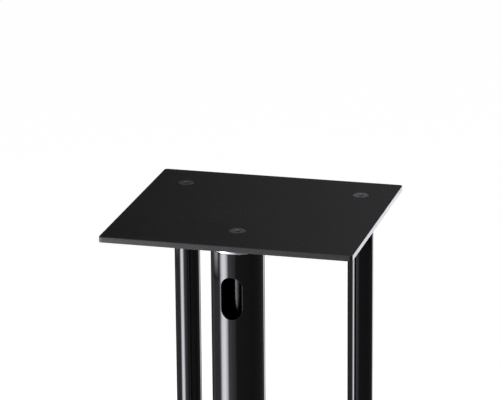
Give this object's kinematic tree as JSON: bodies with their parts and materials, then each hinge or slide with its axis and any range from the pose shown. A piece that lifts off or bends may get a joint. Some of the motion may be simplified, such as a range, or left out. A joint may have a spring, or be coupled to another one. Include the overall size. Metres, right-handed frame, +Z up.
{
  "type": "speaker stand",
  "caption": "Floor-standing steel speaker stand with a flat top plate on one wide rear cable column and slim front columns, over a base plate on levelling spikes.",
  "frame": {"origin": "on the floor under the middle of the base plate, with the spikes at rest", "axes": "+Z up; the front, with the slim columns, faces -Y; the cable slots face +Y; +X is the right as seen from the front"},
  "size_m": [0.29, 0.3, 0.6],
  "materials": {
    "satin_black_coat": "satin black powder coat",
    "gloss_black_paint": "high gloss black paint",
    "polished_collar": "turned and polished bright metal",
    "bright_steel": "bright zinc-plated steel",
    "dark_steel": "drawn steel bar, oiled and dark"
  },
  "bodies": {
    "frame": {"top_plate": "satin_black_coat", "base_plate": "satin_black_coat", "main_column": "gloss_black_paint", "main_top_collar": "polished_collar", "main_bottom_collar": "polished_collar", "main_tie_bar": "dark_steel", "main_top_screw": "bright_steel", "main_base_screw": "bright_steel", "left_column": "gloss_black_paint", "left_top_collar": "polished_collar", "left_bottom_collar": "polished_collar", "left_tie_bar": "dark_steel", "left_top_screw": "bright_steel", "left_base_screw": "bright_steel", "right_column": "gloss_black_paint", "right_top_collar": "polished_collar", "right_bottom_collar": "polished_collar", "right_tie_bar": "dark_steel", "right_top_screw": "bright_steel", "right_base_screw": "bright_steel", "lock_nut_front_left": "bright_steel", "lock_nut_front_right": "bright_steel", "lock_nut_rear_left": "bright_steel", "lock_nut_rear_right": "bright_steel"},
    "foot_front_left": {"floor_disc_front_left": "bright_steel"},
    "screw_foot_front_left": {"spike_front_left": "bright_steel"},
    "foot_front_right": {"floor_disc_front_right": "bright_steel"},
    "screw_foot_front_right": {"spike_front_right": "bright_steel"},
    "foot_rear_left": {"floor_disc_rear_left": "bright_steel"},
    "screw_foot_rear_left": {"spike_rear_left": "bright_steel"},
    "foot_rear_right": {"floor_disc_rear_right": "bright_steel"},
    "screw_foot_rear_right": {"spike_rear_right": "bright_steel"}
  },
  "joints": [
    {"name": "level_front_left", "type": "slide", "parent": "frame", "child": "foot_front_left", "axis": [0, 0, 1], "range_m": [-0.006, 0.004]},
    {"name": "turn_front_left", "type": "hinge", "parent": "foot_front_left", "child": "screw_foot_front_left", "pos_m": [-0.123, -0.128, 0], "axis": [0, 0, 1], "range_deg": [-1728, 1152]},
    {"name": "level_front_right", "type": "slide", "parent": "frame", "child": "foot_front_right", "axis": [0, 0, 1], "range_m": [-0.006, 0.004]},
    {"name": "turn_front_right", "type": "hinge", "parent": "foot_front_right", "child": "screw_foot_front_right", "pos_m": [0.123, -0.128, 0], "axis": [0, 0, 1], "range_deg": [-1728, 1152]},
    {"name": "level_rear_left", "type": "slide", "parent": "frame", "child": "foot_rear_left", "axis": [0, 0, 1], "range_m": [-0.006, 0.004]},
    {"name": "turn_rear_left", "type": "hinge", "parent": "foot_rear_left", "child": "screw_foot_rear_left", "pos_m": [-0.123, 0.128, 0], "axis": [0, 0, 1], "range_deg": [-1728, 1152]},
    {"name": "level_rear_right", "type": "slide", "parent": "frame", "child": "foot_rear_right", "axis": [0, 0, 1], "range_m": [-0.006, 0.004]},
    {"name": "turn_rear_right", "type": "hinge", "parent": "foot_rear_right", "child": "screw_foot_rear_right", "pos_m": [0.123, 0.128, 0], "axis": [0, 0, 1], "range_deg": [-1728, 1152]}
  ],
  "couplings": [
    {"joint": "turn_front_left", "follows": "level_front_left", "rad_per_m": 5026.5},
    {"joint": "turn_front_right", "follows": "level_front_right", "rad_per_m": 5026.5},
    {"joint": "turn_rear_left", "follows": "level_rear_left", "rad_per_m": 5026.5},
    {"joint": "turn_rear_right", "follows": "level_rear_right", "rad_per_m": 5026.5}
  ]
}
